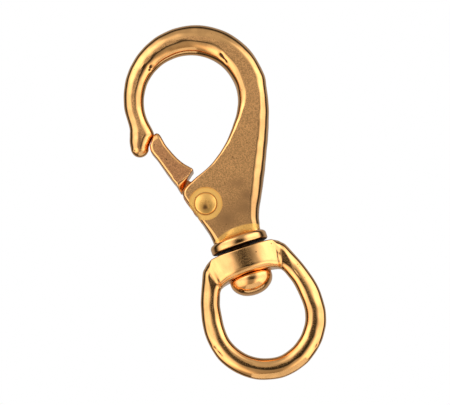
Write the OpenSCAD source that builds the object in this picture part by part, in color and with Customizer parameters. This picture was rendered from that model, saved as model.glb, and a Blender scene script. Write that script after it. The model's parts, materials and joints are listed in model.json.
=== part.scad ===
// Swivel-eye boat snap: a cast hook with a sprung gate, turning on a headed pin in a cast eye.
// X is to the right, Y to the back and Z up along the swivel axis.
// The origin is the load point, where a line bears on the crown of the hook's bowl.

/* [Hook] */
// Inside radius of the hook's bowl
bowl_radius = 12.5; // [11:0.5:15]
// Height of the bowl's centre above the lower face of the collar
bowl_height = 41; // [36:0.5:49]
// Width of the hook's section where it leaves the plate
root_width = 8.4; // [7:0.1:10]
// Width of the hook's section just above the nose
nose_width = 5.2; // [4.4:0.1:6.2]
// Thickness of the flat-faced plate that carries the gate
plate_thickness = 9.2; // [8.2:0.1:11]

/* [Gate] */
// Width of the slot between the two cheeks
slot_width = 4.2; // [3.6:0.1:5]
// Side play of the gate's tongue in the slot, on each side
tongue_play = 0.1; // [0.05:0.01:0.2]
// Diameter of the gate rivet's shank
rivet_diameter = 3.8; // [3.2:0.1:4.6]
// Diameter of the rivet's domed heads
rivet_head = 5.8; // [5.2:0.1:6.4]
// Depth of the spot face under each rivet head
spot_depth = 0.3; // [0.2:0.05:0.5]
// Diameter of the gate spring's wire, which a narrow slot makes thinner
spring_wire = 0.5; // [0.4:0.05:0.6]

/* [Swivel] */
// Diameter of the swivel pin's stem
stem_diameter = 5.5; // [4.6:0.1:6.6]
// Diameter of the swivel pin's mushroom head
pin_head = 11.4; // [9.6:0.1:13]
// Largest diameter of the hook's collar
collar_diameter = 15.4; // [14.4:0.1:18]
// Gap between the collar and the eye's hub when the snap is under load
swivel_gap = 0.9; // [0.5:0.1:1.4]
// Height of the eye's hub on the swivel axis
hub_height = 6.9; // [6:0.1:8.3]

/* [Eye] */
// Overall width of the eye
eye_width = 32.4; // [29:0.2:39]
// Length of the eye from the collar's lower face to its far end
eye_length = 36.2; // [33:0.2:43]
// Thickness of the eye's round legs across the flat of the snap
eye_thickness = 5.5; // [4.8:0.1:6.4]

/* [Hidden] */
$fn = 64;

// Height of the load point above the lower face of the collar
seat_height = bowl_height + bowl_radius;
// Radial clearance of a running fit
running_clearance = 0.05;
// A length that runs clear through any piece
through = 60;

// Outline points are written for a bowl 12.5 in radius and 41 up, and stretch with the real bowl.
x_stretch = bowl_radius / 12.5;
z_stretch = bowl_height / 41;
// Eye outline points are written for an eye 32.4 wide and 36.2 long.
eye_x_stretch = eye_width / 32.4;
eye_z_stretch = eye_length / 36.2;
// Heights of the hub's upper face and of its underside on the swivel axis
hub_top = -swivel_gap;
underside = hub_top - hub_height;
// Radius of the hub's bowed front and back faces, and the hub's half depth at the stem
bow_radius = 14;
hub_half = 6.8;

plate_half = plate_thickness / 2;
nose_half = 0.53 * nose_width;
root_half = 0.5 * root_width;
pivot_x = -5.05 * x_stretch;
pivot_z = 13.35 * z_stretch;
spot_radius = 4.4;
slot_radius = 4.9;
tongue_radius = 3.8;
stem_depth = 6.2;

// The spring's turns lie side by side in the back half of the slot, with a gap on each side of the coil.
coil_radius = rivet_diameter / 2 + 0.6;
coil_turns = 2.25;
coil_gap = 0.1;
leg_height = 5.4;
coil_room = slot_width / 2 - 2 * coil_gap;
wire = min(spring_wire, coil_room / (1 + 1.04 * coil_turns));
coil_pitch = (coil_room - wire) / coil_turns;

// Half depth of the hub at a distance from the stem
function bow_half(x) = sqrt(bow_radius * bow_radius - x * x) - bow_radius + hub_half;

// Rows of a loft are [inner x, inner z, outer x, outer z, half thickness, inner rounding, outer rounding].
// The nose, from its end up to the bowl; the first five rows form the slanted seat for the gate.
nose_rows = [
    [-15.9, 31.5, -17.1, 30.9, 0.40 * nose_half, 0.5, 0.5],
    [-15.2, 32.2, -18.2, 31.2, 0.72 * nose_half, 1.3, 1.3],
    [-14.2, 33.3, -19.1, 32.6, 0.90 * nose_half, 2.2, 2.2],
    [-13.0, 34.7, -19.3, 34.0, 0.97 * nose_half, 2.6, 2.8],
    [-11.9, 36.0, -19.0, 35.4, nose_half, 2.8, 3.2],
    [-12.0, 37.6, -18.4, 37.2, nose_half, 2.8, 3.0],
];
// The plate, from the bowl's right side along the throat and round the cheeks down to the neck
plate_rows = [
    [12.5, 41.6, 20.7, 42.2, 0.92 * plate_half, 2.7, 2.7],
    [12.1, 37.8, 20.3, 38.2, 0.94 * plate_half, 2.5, 2.7],
    [10.7, 34.3, 19.4, 34.0, 0.96 * plate_half, 2.1, 2.8],
    [8.4, 31.0, 18.1, 29.9, 0.98 * plate_half, 1.7, 2.9],
    [5.9, 27.9, 16.7, 26.2, plate_half, 1.3, 3.1],
    [2.6, 24.9, 15.2, 22.8, plate_half, 1.1, 3.2],
    [-1.3, 22.4, 13.6, 19.2, plate_half, 1.0, 3.3],
    [-5.2, 20.9, 11.8, 15.4, plate_half, 1.0, 3.2],
    [-8.6, 19.3, 10.4, 12.5, plate_half, 1.0, 3.1],
    [-9.9, 18.0, 9.6, 11.0, plate_half, 1.0, 3.0],
    [-9.8, 16.4, 8.9, 9.7, plate_half, 1.0, 2.9],
    [-8.7, 13.0, 7.9, 7.7, plate_half, 1.0, 2.8],
    [-7.6, 9.3, 7.2, 5.9, plate_half, 1.1, 2.6],
    [-6.7, 6.0, 6.8, 4.3, plate_half, 1.4, 2.4],
    [-6.4, 3.6, 6.5, 3.2, plate_half, 1.8, 2.3],
    [-6.3, 1.2, 6.4, 1.2, plate_half, 2.2, 2.2],
];
// The gate's lever, from the head above the cheeks up to its tip against the nose
gate_rows = [
    [-8.3, 20.2, -10.3, 18.6, 0.47 * plate_half, 0.5, 0.5],
    [-7.8, 20.9, -10.5, 19.3, 0.86 * plate_half, 0.7, 0.7],
    [-7.1, 21.7, -10.9, 20.6, 0.89 * plate_half, 0.8, 0.8],
    [-6.2, 22.4, -11.1, 21.4, 0.89 * plate_half, 0.9, 0.8],
    [-5.6, 23.2, -11.4, 22.3, 0.87 * plate_half, 0.9, 0.8],
    [-6.0, 24.3, -11.7, 23.4, 0.82 * plate_half, 0.9, 0.8],
    [-7.1, 25.6, -12.2, 25.0, 0.76 * plate_half, 0.9, 0.8],
    [-8.2, 27.4, -12.8, 27.0, 0.70 * plate_half, 0.9, 0.8],
    [-9.2, 29.6, -13.4, 29.0, 0.65 * plate_half, 0.9, 0.8],
    [-10.0, 31.8, -14.2, 31.2, nose_half, 0.9, 0.8],
    [-10.3, 33.4, -14.2, 32.8, 0.95 * nose_half, 0.9, 0.8],
    [-10.5, 34.8, -13.1, 34.2, 0.86 * nose_half, 0.8, 0.8],
    [-10.9, 35.6, -12.3, 35.3, 0.68 * nose_half, 0.5, 0.5],
];
// The right half of the eye's hub, from its middle out to the shoulder
hub_rows = [
    [0, underside, 0, hub_top, bow_half(0), 2.0, 0.8],
    [3.1, underside - 0.1, 3.2, hub_top, bow_half(3.1), 2.0, 0.8],
    [5.8, underside - 0.3, 6.2, hub_top, bow_half(6), 2.0, 0.8],
    [7.5, underside - 0.7, 8.2, hub_top - 0.1, bow_half(8), 2.0, 0.9],
    [8.3, underside - 1.2, 9.8, hub_top - 0.7, 0.58 * eye_thickness, 2.3, 1.6],
    [8.9, underside - 2.1, 11.6, hub_top - 2.5, 0.51 * eye_thickness, 2.6, 2.4],
];
// The right leg of the eye, from under the shoulder down to the far end of the ring
leg_rows = [
    [9.4, -11.2, 13.1, -6.8, 0.5 * eye_thickness, 3, 3],
    [10.1, -13.4, 14.8, -11.3, 0.5 * eye_thickness, 3, 3],
    [10.6, -16.4, 15.9, -15.6, 0.5 * eye_thickness, 3, 3],
    [10.8, -19.3, 16.2, -19.4, 0.5 * eye_thickness, 3, 3],
    [10.5, -22.2, 15.8, -23.4, 0.5 * eye_thickness, 3, 3],
    [9.3, -25.1, 14.4, -27.4, 0.5 * eye_thickness, 3, 3],
    [7.0, -27.8, 11.3, -31.5, 0.5 * eye_thickness, 3, 3],
    [3.8, -29.8, 6.3, -34.9, 0.5 * eye_thickness, 3, 3],
    [0, -30.6, 0, -36.2, 0.5 * eye_thickness, 3, 3],
];

// 0 at the start of a stretch and 1 at its end, with no kink at either
function ease(u) = let (c = min(max(u, 0), 1)) c * c * (3 - 2 * c);

// Width of the bowl's section at an angle around it, thin at the nose and thick at the plate
function bowl_width(angle) = nose_width + (root_width - nose_width) * ease((180 - angle) / 140);

// A row of the hook's bowl at an angle around its centre
function bowl_row(angle) = let (
    width = bowl_width(angle),
    far = bowl_radius + width,
    flat = 0.36 * ease((62 - angle) / 60)
) [
    bowl_radius * cos(angle), bowl_height + bowl_radius * sin(angle),
    far * cos(angle), bowl_height + far * sin(angle),
    nose_half + (root_half - nose_half) * ease((180 - angle) / 150),
    width * (1 - flat) / 2, width * (1 - flat) / 2
];

// A row whose points stretch with the bowl, or with any other pair of factors
function stretched(row, sx, sz) = [
    row[0] * sx, row[1] * sz, row[2] * sx, row[3] * sz, row[4], row[5], row[6]
];

hook_rows = concat(
    [for (row = nose_rows) stretched(row, x_stretch, z_stretch)],
    [for (step = [0:9]) bowl_row(184 - 18 * step)],
    [for (row = plate_rows) stretched(row, x_stretch, z_stretch)]
);
lever_rows = [for (row = gate_rows) stretched(row, x_stretch, z_stretch)];
right_rows = concat(
    [for (row = hub_rows) stretched(row, eye_x_stretch, 1)],
    [for (row = leg_rows) stretched(row, eye_x_stretch, eye_z_stretch)]
);
ring_rows = concat(right_rows, [
    for (i = [len(right_rows) - 2 : -1 : 1]) stretched(right_rows[i], -1, 1)
]);

// The row at a place counted in rows, on a smooth curve through all of them
function row_at(rows, place, closed) = let (
    count = len(rows),
    i = min(floor(place), closed ? count - 1 : count - 2),
    u = place - i,
    before = rows[closed ? (i + count - 1) % count : max(i - 1, 0)],
    from = rows[i],
    to = rows[(i + 1) % count],
    after = rows[closed ? (i + 2) % count : min(i + 2, count - 1)]
) from + u / 2 * (to - before + u * (2 * before - 5 * from + 4 * to - after
    + u * (3 * from - before - 3 * to + after)));

// One corner of a section: a quarter ellipse about (s, y), in steps of a sixth of a right angle
function corner(s, y, rs, ry, start) = [for (a = [start : 15 : start + 90]) [s + rs * cos(a), y + ry * sin(a)]];

// The closed section across a row, as points in space: two flats with rounded sides
function section(row) = let (
    inner = [row[0], row[1]],
    span = [row[2], row[3]] - inner,
    width = norm(span),
    half = row[4],
    ri = min(row[5], width / 2 - 0.02),
    ro = min(row[6], width / 2 - 0.02),
    yi = min(1.3 * ri, half - 0.02),
    yo = min(1.3 * ro, half - 0.02)
) [
    for (p = concat(
        corner(width - ro, half - yo, ro, yo, 0), corner(ri, half - yi, ri, yi, 90),
        corner(ri, yi - half, ri, yi, 180), corner(width - ro, yo - half, ro, yo, 270)
    ))
        [inner[0] + span[0] * p[0] / width, -p[1], inner[1] + span[1] * p[0] / width]
];

// A solid skinned over rings of points, with flat ends unless the last ring joins the first
module skin(rings, closed = false) {
    count = len(rings[0]);
    last = len(rings) - 1;
    polyhedron(
        points = [for (ring = rings) each ring],
        faces = concat(
            closed ? [] : [[for (i = [0 : count - 1]) i], [for (i = [count - 1 : -1 : 0]) last * count + i]],
            [for (r = [0 : closed ? last : last - 1]) for (i = [0 : count - 1])
                let (j = (i + 1) % count, next = (r + 1) % (last + 1))
                    [r * count + i, next * count + i, next * count + j, r * count + j]]
        )
    );
}

// A solid lofted through rows, with a number of steps between one row and the next
module loft(rows, steps, closed = false) {
    stretches = closed ? len(rows) : len(rows) - 1;
    places = [0 : closed ? stretches * steps - 1 : stretches * steps];
    skin([for (k = places) section(row_at(rows, k / steps, closed))], closed);
}

// A cylinder along Y through the gate's pivot, between two depths
module at_pivot(radius, y_from, y_to) {
    translate([pivot_x, y_to, pivot_z])
        rotate([90, 0, 0])
            cylinder(r = radius, h = y_to - y_from);
}

// A shape drawn in X and Z, given thickness along Y between two depths
module plate_of(points, y_from, y_to) {
    translate([0, y_to, 0])
        rotate([90, 0, 0])
            linear_extrude(y_to - y_from)
                polygon(points);
}

// The collar with its rounded rim, and the hollow flare that runs up from it into the plate's faces
module collar() {
    rim = collar_diameter / 2;
    foot = rim - 1.1;
    throat = plate_half - 0.2;
    flare_height = 3.9;
    rotate_extrude()
        polygon(concat(
            [[0, 0]],
            [for (a = [-90 : 15 : 0]) [foot + 1.1 * cos(a), 1.1 + 1.1 * sin(a)]],
            [for (a = [15 : 15 : 75]) [foot + 1.1 * cos(a), 1.55 + 1.1 * sin(a)]],
            [for (a = [0 : 15 : 90]) [foot - (foot - throat) * sin(a), 2.7 + flare_height * (1 - cos(a))]],
            [[0, 2.7 + flare_height]]
        ));
}

// The slot between the cheeks, open to the left edge and to the throat above it
module slot() {
    half = slot_width / 2;
    at_pivot(slot_radius, -half, half);
    plate_of([
        [pivot_x + slot_radius, pivot_z],
        [pivot_x + 4.2, pivot_z + 5],
        [pivot_x + 3.2, pivot_z + 11],
        [pivot_x - 13, pivot_z + 13],
        [pivot_x - 13, pivot_z]
    ], -half, half);
}

// The hook: nose, bowl, plate with two cheeks, neck and collar in one casting
module hook_body() {
    face = plate_half - spot_depth;
    color("goldenrod")
        translate([0, 0, -seat_height])
            difference() {
                union() {
                    loft(hook_rows, 2);
                    collar();
                }
                slot();
                at_pivot(rivet_diameter / 2, -through / 2, through / 2);
                at_pivot(spot_radius, face, face + 3);
                at_pivot(spot_radius, -face - 3, -face);
                translate([0, 0, -1])
                    cylinder(d = stem_diameter, h = stem_depth + 1);
            }
}

// The gate's tongue: a round eye about the rivet, tapering up into the head
module tongue() {
    half = slot_width / 2 - tongue_play;
    at_pivot(tongue_radius, -half, half);
    plate_of([
        [pivot_x - 3.7, pivot_z + 0.9],
        [pivot_x + 3.4, pivot_z + 1.7],
        [pivot_x + 0.6, pivot_z + 4.9],
        [-7.7 * x_stretch, 21.2 * z_stretch],
        [-8.4 * x_stretch, 22.4 * z_stretch],
        [-10.6 * x_stretch, 21.4 * z_stretch],
        [-10.2 * x_stretch, 18.8 * z_stretch]
    ], -half, half);
}

// The pocket in the back half of the tongue for the spring's coil and its two legs
module spring_pocket() {
    back = slot_width;
    pocket = coil_radius + 0.9 * wire;
    at_pivot(pocket, 0, back);
    plate_of([
        [pivot_x, pivot_z - pocket],
        [pivot_x + slot_radius, pivot_z - pocket],
        [pivot_x + slot_radius, pivot_z + 1],
        [pivot_x, pivot_z + 1]
    ], 0, back);
    translate([pivot_x - coil_radius - wire / 2, 0, pivot_z])
        cube([1.5 * wire, back, leg_height + 0.5]);
}

// The gate: a cast lever that closes against the nose, turning on the rivet
module gate() {
    color("peru")
        translate([0, 0, -seat_height])
            difference() {
                union() {
                    loft(lever_rows, 2);
                    tongue();
                }
                spring_pocket();
                at_pivot(rivet_diameter / 2 + running_clearance, -through / 2, through / 2);
            }
}

// One half of the rivet, from its middle out to the dome of its head
module rivet_half() {
    shank = rivet_diameter / 2;
    head = rivet_head / 2;
    face = plate_half - spot_depth;
    edge = 0.35;
    rise = 1;
    dome = (head * head + rise * rise) / (2 * rise);
    tilt = asin(head / dome);
    rotate_extrude()
        polygon(concat(
            [[0, 0], [shank, 0], [shank, face], [head, face]],
            [for (a = [0 : 6]) [dome * sin(tilt * (6 - a) / 6), face + edge + rise - dome
                + dome * cos(tilt * (6 - a) / 6)]]
        ));
}

// The gate rivet: a shank through both cheeks with a domed head at each face
module gate_rivet() {
    color("gold")
        translate([pivot_x, 0, pivot_z - seat_height])
            for (turn = [90, -90])
                rotate([turn, 0, 0])
                    rivet_half();
}

// Centre line of the spring: a leg from the slot's wall, the coil, and a leg up along the gate
coil_steps = 20;
coil_start = coil_gap + wire / 2;
leg_reach = sqrt(slot_radius * slot_radius - coil_radius * coil_radius) - wire / 2;
spring_path = concat(
    [[leg_reach, coil_start, -coil_radius]],
    [for (k = [0 : coil_turns * coil_steps]) let (a = -90 - k * 360 / coil_steps)
        [coil_radius * cos(a), coil_start + coil_pitch * k / coil_steps, coil_radius * sin(a)]],
    [[-coil_radius, coil_start + coil_pitch * coil_turns, leg_height]]
);

// A closed ring of points round a path, square to it, at one of the path's points
function wire_ring(path, i, radius, sides) = let (
    last = len(path) - 1,
    along = path[min(i + 1, last)] - path[max(i - 1, 0)],
    out = [along[2], 0, -along[0]] / norm([along[0], along[2]]),
    up = cross(along, out) / norm(cross(along, out))
) [for (k = [0 : sides - 1]) path[i] + radius * (cos(k * 360 / sides) * out + sin(k * 360 / sides) * up)];

// The gate spring: a small torsion coil round the rivet that holds the gate closed
module gate_spring() {
    color("silver")
        translate([pivot_x, 0, pivot_z - seat_height])
            skin([for (i = [0 : len(spring_path) - 1]) wire_ring(spring_path, i, wire / 2, 8)]);
}

// The eye: hub and ring in one casting, bored for the stem and spot faced for the pin's head
module swivel_eye() {
    color("darkgoldenrod")
        translate([0, 0, -seat_height])
            difference() {
                loft(ring_rows, 2, closed = true);
                translate([0, 0, -through / 2])
                    cylinder(r = stem_diameter / 2 + running_clearance, h = through);
                translate([0, 0, underside - 6])
                    cylinder(r = pin_head / 2 + 0.3, h = 6);
            }
}

// The swivel pin: a stem pressed up into the neck, with a mushroom head under the hub
module swivel_pin() {
    stem = stem_diameter / 2;
    head = pin_head / 2;
    top = underside - running_clearance;
    color("goldenrod")
        translate([0, 0, -seat_height])
            rotate_extrude()
                polygon(concat(
                    [[0, top - 5.4], [0, stem_depth], [stem - 0.4, stem_depth], [stem, stem_depth - 0.4]],
                    [[stem, top], [head - 0.9, top]],
                    [for (a = [75 : -15 : 0]) [head - 0.9 + 0.9 * cos(a), top - 0.9 + 0.9 * sin(a)]],
                    [for (a = [-15 : -15 : -45]) [head * cos(a), top - 1.2 + 4.2 * sin(a)]],
                    [for (a = [50 : 10 : 80]) [0.94 * head * cos(a), top - 1.9 - 3.5 * sin(a)]]
                ));
}

hook_body();
gate();
gate_rivet();
gate_spring();
swivel_eye();
swivel_pin();
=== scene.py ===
"""A cast swivel-eye boat snap: bronze hook, sprung gate, rivet, torsion spring, swivel pin and eye.

Shapes are worked out in millimetres, with heights counted from the collar's lower face, and are moved
to the frame's metres and origin when a mesh is made.
"""

import json
import math

import bmesh
import bpy
import numpy as np
from mathutils import Matrix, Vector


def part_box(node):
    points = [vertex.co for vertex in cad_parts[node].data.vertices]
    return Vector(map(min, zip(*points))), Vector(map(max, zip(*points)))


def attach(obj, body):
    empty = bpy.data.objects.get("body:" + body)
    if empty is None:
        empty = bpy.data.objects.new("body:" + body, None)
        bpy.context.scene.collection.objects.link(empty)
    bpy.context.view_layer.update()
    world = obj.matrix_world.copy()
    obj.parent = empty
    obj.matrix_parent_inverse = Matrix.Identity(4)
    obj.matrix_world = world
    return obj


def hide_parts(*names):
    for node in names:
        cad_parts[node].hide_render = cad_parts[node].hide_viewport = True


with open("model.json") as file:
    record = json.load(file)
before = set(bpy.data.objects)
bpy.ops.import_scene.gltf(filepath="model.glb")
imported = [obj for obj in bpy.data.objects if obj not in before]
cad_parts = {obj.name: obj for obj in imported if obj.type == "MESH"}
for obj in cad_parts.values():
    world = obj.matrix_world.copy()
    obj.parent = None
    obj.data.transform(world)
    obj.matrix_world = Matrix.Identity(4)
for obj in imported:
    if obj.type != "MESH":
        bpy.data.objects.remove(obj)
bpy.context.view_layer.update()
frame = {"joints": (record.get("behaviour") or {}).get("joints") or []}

# ---------------------------------------------------------------- sizes taken from the frame

MM = 0.001
JOINTS = {joint["name"]: joint for joint in frame["joints"]}
COLLAR_Z = JOINTS["eye_swivel"]["pos_m"][2] / MM
PIVOT_X = JOINTS["gate_hinge"]["pos_m"][0] / MM
PIVOT_Z = JOINTS["gate_hinge"]["pos_m"][2] / MM - COLLAR_Z


def box_mm(node):
    """Lowest and highest corner of a CAD node in millimetres, heights from the collar's lower face."""
    shift = np.array([0, 0, COLLAR_Z])
    return [np.array(corner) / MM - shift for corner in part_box(node)]


RIVET_LOW, RIVET_HIGH = box_mm("gate_rivet")
PIN_LOW, PIN_HIGH = box_mm("swivel_pin")
HOOK_HIGH = box_mm("hook_body")[1]
EYE_HIGH = box_mm("swivel_eye")[1]

PLATE_HALF = 4.6
SPOT_DEPTH = 0.3
SPOT_RADIUS = 4.4
SLOT_HALF = 2.1
SLOT_RADIUS = 4.9
TONGUE_HALF = 2.0
TONGUE_RADIUS = 3.8
RIVET_RADIUS = 1.9
RIVET_HEAD = (RIVET_HIGH[0] - RIVET_LOW[0]) / 2
STEM_RADIUS = 2.75
STEM_TOP = PIN_HIGH[2]
PIN_HEAD = (PIN_HIGH[0] - PIN_LOW[0]) / 2
HEAD_SHOULDER = 0.9
HEAD_FLANK = 4.2
HEAD_CROWN = 3.5
HEAD_CLEARANCE = 0.3
STEM_CHAMFER = 0.4
COLLAR_RADIUS = HOOK_HIGH[1]
COLLAR_HEIGHT = 2.7
COLLAR_LOW_EDGE = 0.5
COLLAR_TOP_EDGE = 1.15
FLARE_HEIGHT = 3.9
RUNNING = 0.05
UNDERSIDE = -7.8
SPRING_WIRE = 0.5
COIL_RADIUS = RIVET_RADIUS + 0.6
COIL_TURNS = 2.25
COIL_GAP = 0.1
COIL_PITCH = (SLOT_HALF - 2 * COIL_GAP - SPRING_WIRE) / COIL_TURNS
LEG_HEIGHT = 5.4
BOWL_RADIUS = 12.5
BOWL_Z = -COLLAR_Z - BOWL_RADIUS
NOSE_WIDTH = 5.2
ROOT_WIDTH = 8.4
NOSE_HALF = 0.53 * NOSE_WIDTH
TIP_LENGTH = 2.6
ROOT_HALF = 0.5 * ROOT_WIDTH
EYE_HALF = 2.75
BOW_RADIUS = 14.0
ARCH_SAG = 0.035
ARCH_MIDDLE = 1.2
HUB_HALF = EYE_HIGH[1]
HUB_TOP = EYE_HIGH[2]
THROUGH = 9
HAND_DEPTH, GATE_HAND_DEPTH = 0.05, 0.03
EDGE_BREAK, GATE_EDGE_BREAK = 0.08, 0.06
BODY_STEPS, EYE_STEPS, GATE_STEPS = 14, 12, 10
BODY_CORNER, GATE_CORNER = 14, 10
FLAT_SHARES = np.array([[0.05, 0.2, 0.5, 0.8, 0.95]])

# ---------------------------------------------------------------- outlines

# A row is [inner x, inner z, outer x, outer z, half thickness, inner rounding, outer rounding].
NOSE_ROWS = [
    [-14.4, 33.0, -19.1, 34.3, 0.98 * NOSE_HALF, 2.4, 2.4],
    [-13.0, 34.7, -18.8, 36.0, NOSE_HALF, 2.7, 2.8],
    [-12.0, 36.0, -18.2, 37.8, NOSE_HALF, 2.8, 3.0],
]
PLATE_ROWS = [
    [12.5, 41.6, 20.7, 42.2, 0.92 * PLATE_HALF, 2.7, 2.7],
    [12.1, 37.8, 20.3, 38.2, 0.94 * PLATE_HALF, 2.5, 2.7],
    [10.7, 34.3, 19.4, 34.0, 0.96 * PLATE_HALF, 2.1, 2.8],
    [8.4, 31.0, 18.1, 29.9, 0.98 * PLATE_HALF, 1.7, 2.9],
    [5.9, 27.9, 16.7, 26.2, PLATE_HALF, 1.3, 3.1],
    [2.6, 24.9, 15.2, 22.8, PLATE_HALF, 1.1, 3.2],
    [-1.3, 22.4, 13.6, 19.2, PLATE_HALF, 1.0, 3.3],
    [-5.2, 20.9, 11.8, 15.4, PLATE_HALF, 1.0, 3.2],
    [-8.6, 19.3, 10.4, 12.5, PLATE_HALF, 1.0, 3.1],
    [-9.9, 18.0, 9.6, 11.0, PLATE_HALF, 1.0, 3.0],
    [-9.8, 16.4, 8.9, 9.7, PLATE_HALF, 1.0, 2.9],
    [-8.7, 13.0, 7.9, 7.7, PLATE_HALF, 1.0, 2.8],
    [-7.6, 9.3, 7.2, 5.9, PLATE_HALF, 1.1, 2.6],
    [-6.7, 6.0, 6.8, 4.3, PLATE_HALF, 1.4, 2.4],
    [-6.4, 3.6, 6.5, 3.2, PLATE_HALF, 1.8, 2.3],
    [-6.3, 1.2, 6.4, 1.2, PLATE_HALF, 2.2, 2.2],
]
GATE_ROWS = [
    [-8.6, 19.9, -10.3, 18.4, 0.46 * PLATE_HALF, 0.3, 0.3],
    [-8.1, 20.5, -10.4, 19.0, 0.57 * PLATE_HALF, 0.3, 0.3],
    [-7.6, 21.1, -10.5, 19.5, 0.70 * PLATE_HALF, 0.4, 0.4],
    [-7.1, 21.6, -10.6, 20.0, 0.81 * PLATE_HALF, 0.5, 0.5],
    [-6.6, 22.0, -10.7, 20.6, 0.85 * PLATE_HALF, 0.5, 0.5],
    [-6.0, 22.5, -10.9, 21.2, 0.84 * PLATE_HALF, 0.6, 0.6],
    [-5.4, 22.9, -11.2, 21.9, 0.83 * PLATE_HALF, 0.6, 0.6],
    [-5.3, 23.4, -11.4, 22.5, 0.82 * PLATE_HALF, 0.6, 0.6],
    [-6.0, 24.3, -11.7, 23.4, 0.80 * PLATE_HALF, 0.8, 0.8],
    [-7.1, 25.6, -12.2, 25.0, 0.77 * PLATE_HALF, 0.9, 0.8],
    [-8.2, 27.4, -12.8, 27.0, 0.73 * PLATE_HALF, 0.9, 0.8],
    [-9.2, 29.6, -13.4, 29.0, 0.68 * PLATE_HALF, 0.9, 0.8],
    [-10.0, 31.8, -14.2, 31.2, 0.63 * PLATE_HALF, 0.9, 0.8],
    [-10.3, 33.4, -14.2, 32.8, 0.98 * NOSE_HALF, 0.9, 0.8],
    [-10.5, 34.5, -13.4, 33.9, 0.92 * NOSE_HALF, 0.9, 0.8],
    [-10.8, 35.3, -12.7, 34.9, 0.80 * NOSE_HALF, 0.7, 0.7],
    [-11.3, 35.7, -12.1, 35.5, 0.62 * NOSE_HALF, 0.3, 0.3],
]


def bow_half(x):
    """Half depth of the hub, bowed as a circle is: the root of the bow's radius squared less x squared,
    less that radius, plus the half depth at the middle."""
    return math.sqrt(BOW_RADIUS**2 - x * x) - BOW_RADIUS + HUB_HALF


EYE_ROWS = [
    [0, UNDERSIDE, 0, HUB_TOP, bow_half(0), 2.0, 0.45],
    [3.1, UNDERSIDE - 0.1, 3.2, HUB_TOP, bow_half(3.1), 2.0, 0.45],
    [5.8, UNDERSIDE - 0.3, 6.2, HUB_TOP, bow_half(6), 2.0, 0.45],
    [7.4, UNDERSIDE - 0.7, 8.0, HUB_TOP - 0.1, bow_half(7.9), 1.9, 0.45],
    [7.8, UNDERSIDE - 0.9, 8.6, HUB_TOP - 0.3, bow_half(8.4), 1.9, 0.45],
    [8.3, UNDERSIDE - 1.2, 9.7, HUB_TOP - 0.7, 1.18 * EYE_HALF, 2.1, 1.6],
    [8.5, UNDERSIDE - 1.5, 10.5, HUB_TOP - 1.3, 1.06 * EYE_HALF, 2.2, 2.0],
    [8.9, UNDERSIDE - 2.1, 11.6, HUB_TOP - 2.5, 1.02 * EYE_HALF, 2.2, 2.6],
    [9.4, -11.2, 13.1, -6.8, EYE_HALF, 2.2, 3.2],
    [10.1, -13.4, 14.8, -11.3, EYE_HALF, 2.1, 3.3],
    [10.6, -16.4, 15.9, -15.6, EYE_HALF, 2.1, 3.3],
    [10.8, -19.3, 16.2, -19.4, EYE_HALF, 2.1, 3.3],
    [10.5, -22.2, 15.8, -23.4, EYE_HALF, 2.2, 3.2],
    [9.3, -25.1, 14.4, -27.4, EYE_HALF, 2.3, 3.1],
    [7.0, -27.8, 11.3, -31.5, EYE_HALF, 2.5, 3.0],
    [3.8, -29.8, 6.3, -34.9, EYE_HALF, 2.6, 2.9],
    [0, -30.6, 0, -36.2, EYE_HALF, 2.7, 2.8],
]


def ease(u):
    """0 at u = 0 and 1 at u = 1, with no kink at either end: three u squared less two u cubed."""
    u = np.clip(u, 0, 1)
    return u * u * (3 - 2 * u)


def tip_row(angle):
    """A row of the nose's round tip: the cosine of the angle gives its width and thickness, and the sine
    how far it lies beyond the first row of the nose."""
    inner, outer = np.array(NOSE_ROWS[0][:2]), np.array(NOSE_ROWS[0][2:4])
    middle, reach = (inner + outer) / 2, (inner - outer) / 2
    c, s = math.cos(math.radians(angle)), math.sin(math.radians(angle))
    onward = middle + TIP_LENGTH * s * np.array([reach[1], -reach[0]]) / np.linalg.norm(reach)
    rounding = np.linalg.norm(reach) * c
    return [*(onward + reach * c), *(onward - reach * c), NOSE_ROWS[0][4] * c, rounding, rounding]


def bowl_row(angle):
    """A row of the bowl: the inner circle, and an outer curve as far out as the wire is wide there."""
    width = NOSE_WIDTH + (ROOT_WIDTH - NOSE_WIDTH) * ease((180 - angle) / 140)
    round_part = 1 - 0.36 * ease((62 - angle) / 60)
    half = NOSE_HALF + (ROOT_HALF - NOSE_HALF) * ease((180 - angle) / 150)
    c, s = math.cos(math.radians(angle)), math.sin(math.radians(angle))
    far = BOWL_RADIUS + width
    rounding = width * round_part / 2
    return [
        BOWL_RADIUS * c, BOWL_Z + BOWL_RADIUS * s, far * c, BOWL_Z + far * s, half, rounding, rounding,
    ]


def smooth_rows(rows, steps, closed=False):
    """Uniform Catmull-Rom curve through the rows: each stretch is the cubic that leaves a row along the
    line between its two neighbours."""
    rows = np.asarray(rows, float)
    n = len(rows)
    place = np.arange(n * steps if closed else (n - 1) * steps + 1) / steps
    i = np.minimum(place.astype(int), n - 1 if closed else n - 2)
    u = (place - i)[:, None]
    neighbours = (i - 1, i, i + 1, i + 2)
    a, b, c, d = (rows[k % n] if closed else rows[np.clip(k, 0, n - 1)] for k in neighbours)
    return b + u / 2 * (c - a + u * (2 * a - 5 * b + 4 * c - d + u * (3 * b - a - 3 * c + d)))


def with_flats(corners):
    """The corners' points, each followed by points spread along the straight line to the next corner."""
    parts = []
    for corner, following in zip(corners, corners[1:] + corners[:1]):
        parts += [corner, corner[:, -1:] * (1 - FLAT_SHARES) + following[:, :1] * FLAT_SHARES]
    return parts


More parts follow.
